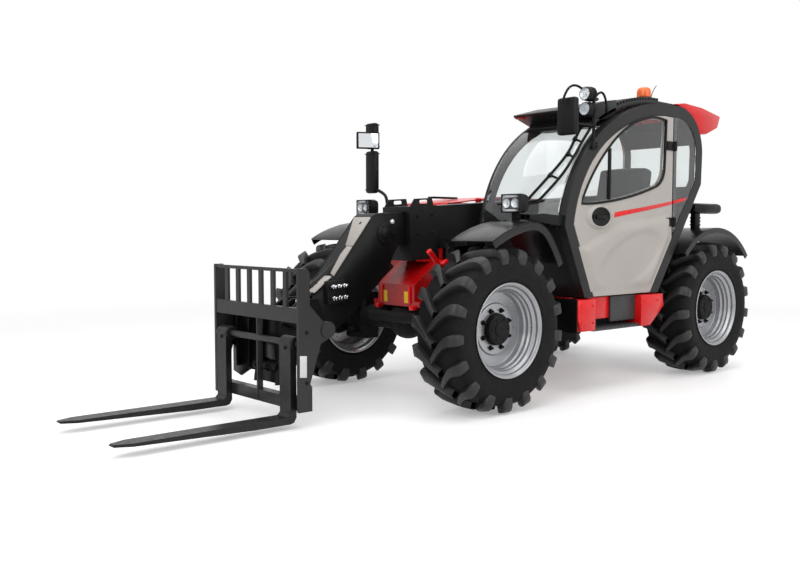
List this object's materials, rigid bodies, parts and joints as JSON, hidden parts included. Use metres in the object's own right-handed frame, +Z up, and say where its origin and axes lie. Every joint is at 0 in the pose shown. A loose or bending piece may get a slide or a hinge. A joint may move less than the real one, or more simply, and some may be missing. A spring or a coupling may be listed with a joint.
{
  "type": "telehandler",
  "caption": "Compact telehandler with a low-slung telescopic boom, side cab, pallet forks and four steered wheels.",
  "frame": {"origin": "on the floor under the machine, midway between the axles and on the centreline", "axes": "+X is forward along the forks, +Y is left towards the cab, +Z is up"},
  "size_m": [6.0502, 2.14, 2.53],
  "materials": {
    "red_paint": "satin",
    "black_paint": "satin",
    "grey_panel": "satin",
    "axle_iron": "matte",
    "silver_rim": "satin",
    "tyre_rubber": "matte",
    "black_plastic": "matte",
    "glass": "gloss",
    "seat_fabric": "matte",
    "steel_rod": "polished",
    "lamp_lens": "gloss",
    "beacon_orange": "gloss",
    "fork_steel": "satin"
  },
  "bodies": {
    "chassis": {"chassis_frame": "red_paint", "front_axle_housing": "axle_iron", "rear_axle_housing": "axle_iron", "counterweight": "black_paint", "engine_block": "axle_iron", "engine_pod": "black_paint", "step_box": "red_paint", "front_fenders": "black_plastic", "rear_fenders": "black_plastic", "cab_frame": "black_paint", "cab_body": "black_paint", "cab_roof": "black_plastic", "windscreen": "glass", "cab_glass": "glass", "seat": "seat_fabric", "console": "black_plastic", "steering_wheel": "black_plastic", "front_lamps": "lamp_lens", "rear_lamps": "black_plastic", "mirrors": "black_plastic", "beacon": "beacon_orange"},
    "door": {"door_panel": "grey_panel", "door_glass": "glass"},
    "bonnet_lid": {"bonnet": "red_paint"},
    "boom": {"boom_outer": "black_paint"},
    "boom_slider": {"boom_inner": "black_paint", "hose_cover": "grey_panel", "hose_couplers": "steel_rod"},
    "carriage": {"quick_hitch": "black_paint", "fork_frame": "black_paint"},
    "left_fork": {"fork_left": "fork_steel"},
    "right_fork": {"fork_right": "fork_steel"},
    "lift_cylinder": {"lift_barrel": "black_paint"},
    "lift_piston": {"lift_rod": "steel_rod"},
    "tilt_cylinder": {"tilt_barrel": "black_paint"},
    "tilt_piston": {"tilt_rod": "steel_rod"},
    "steer_front_left": {"knuckle_front_left": "axle_iron"},
    "wheel_front_left": {"tyre_front_left": "tyre_rubber", "rim_front_left": "silver_rim", "hub_front_left": "axle_iron"},
    "steer_front_right": {"knuckle_front_right": "axle_iron"},
    "wheel_front_right": {"tyre_front_right": "tyre_rubber", "rim_front_right": "silver_rim", "hub_front_right": "axle_iron"},
    "steer_rear_left": {"knuckle_rear_left": "axle_iron"},
    "wheel_rear_left": {"tyre_rear_left": "tyre_rubber", "rim_rear_left": "silver_rim", "hub_rear_left": "axle_iron"},
    "steer_rear_right": {"knuckle_rear_right": "axle_iron"},
    "wheel_rear_right": {"tyre_rear_right": "tyre_rubber", "rim_rear_right": "silver_rim", "hub_rear_right": "axle_iron"}
  },
  "joints": [
    {"name": "boom_lift", "type": "hinge", "parent": "chassis", "child": "boom", "pos_m": [-1.65, 0, 1.48], "axis": [0, -1, 0], "range_deg": [0, 65]},
    {"name": "boom_extend", "type": "slide", "parent": "boom", "child": "boom_slider", "axis": [0.9981, 0, -0.061], "range_m": [0, 1.9]},
    {"name": "carriage_tilt", "type": "hinge", "parent": "boom_slider", "child": "carriage", "pos_m": [2.28019, 0, 0.56035], "axis": [0, 1, 0], "range_deg": [-12, 114]},
    {"name": "left_fork_slide", "type": "slide", "parent": "carriage", "child": "left_fork", "axis": [0, 1, 0], "range_m": [-0.23, 0.025]},
    {"name": "right_fork_slide", "type": "slide", "parent": "carriage", "child": "right_fork", "axis": [0, 1, 0], "range_m": [-0.025, 0.23]},
    {"name": "lift_cylinder_swing", "type": "hinge", "parent": "chassis", "child": "lift_cylinder", "pos_m": [-1.29, 0, 0.83], "axis": [0, -1, 0], "range_deg": [-1, 58.65]},
    {"name": "lift_cylinder_stroke", "type": "slide", "parent": "lift_cylinder", "child": "lift_piston", "axis": [0.9671, 0, 0.2542], "range_m": [-0.002, 0.77638]},
    {"name": "tilt_cylinder_swing", "type": "hinge", "parent": "boom_slider", "child": "tilt_cylinder", "pos_m": [1.75935, 0, 1.20135], "axis": [0, -1, 0], "range_deg": [-12.5, 1.76]},
    {"name": "tilt_cylinder_stroke", "type": "slide", "parent": "tilt_cylinder", "child": "tilt_piston", "axis": [0.7928, 0, -0.6095], "range_m": [-0.03163, 0.28347]},
    {"name": "steer_front_left", "type": "hinge", "parent": "chassis", "child": "steer_front_left", "pos_m": [1.345, 0.68, 0.578], "axis": [0, 0, 1], "range_deg": [-35, 35]},
    {"name": "spin_front_left", "type": "hinge", "parent": "steer_front_left", "child": "wheel_front_left", "pos_m": [1.345, 0.855, 0.578], "axis": [0, 1, 0], "continuous": true},
    {"name": "steer_front_right", "type": "hinge", "parent": "chassis", "child": "steer_front_right", "pos_m": [1.345, -0.68, 0.578], "axis": [0, 0, 1], "range_deg": [-35, 35]},
    {"name": "spin_front_right", "type": "hinge", "parent": "steer_front_right", "child": "wheel_front_right", "pos_m": [1.345, -0.855, 0.578], "axis": [0, 1, 0], "continuous": true},
    {"name": "steer_rear_left", "type": "hinge", "parent": "chassis", "child": "steer_rear_left", "pos_m": [-1.345, 0.68, 0.578], "axis": [0, 0, 1], "range_deg": [-35, 35]},
    {"name": "spin_rear_left", "type": "hinge", "parent": "steer_rear_left", "child": "wheel_rear_left", "pos_m": [-1.345, 0.855, 0.578], "axis": [0, 1, 0], "continuous": true},
    {"name": "steer_rear_right", "type": "hinge", "parent": "chassis", "child": "steer_rear_right", "pos_m": [-1.345, -0.68, 0.578], "axis": [0, 0, 1], "range_deg": [-35, 35]},
    {"name": "spin_rear_right", "type": "hinge", "parent": "steer_rear_right", "child": "wheel_rear_right", "pos_m": [-1.345, -0.855, 0.578], "axis": [0, 1, 0], "continuous": true},
    {"name": "door_swing", "type": "hinge", "parent": "chassis", "child": "door", "pos_m": [-0.752, 0.988, 1.6], "axis": [0, 0, 1], "range_deg": [0, 95]},
    {"name": "bonnet_lift", "type": "hinge", "parent": "chassis", "child": "bonnet_lid", "pos_m": [-0.25, -0.268, 1.445], "axis": [-1, 0, 0], "range_deg": [0, 60]}
  ],
  "couplings": [
    {"joint": "lift_cylinder_swing", "follows": "boom_lift", "ratio": 0.88688},
    {"joint": "lift_cylinder_stroke", "follows": "boom_lift", "m_per_rad": 0.68259},
    {"joint": "tilt_cylinder_swing", "follows": "carriage_tilt", "ratio": -0.1053},
    {"joint": "tilt_cylinder_stroke", "follows": "carriage_tilt", "m_per_rad": 0.14147},
    {"joint": "steer_front_right", "follows": "steer_front_left", "ratio": 1},
    {"joint": "steer_rear_right", "follows": "steer_rear_left", "ratio": 1}
  ]
}
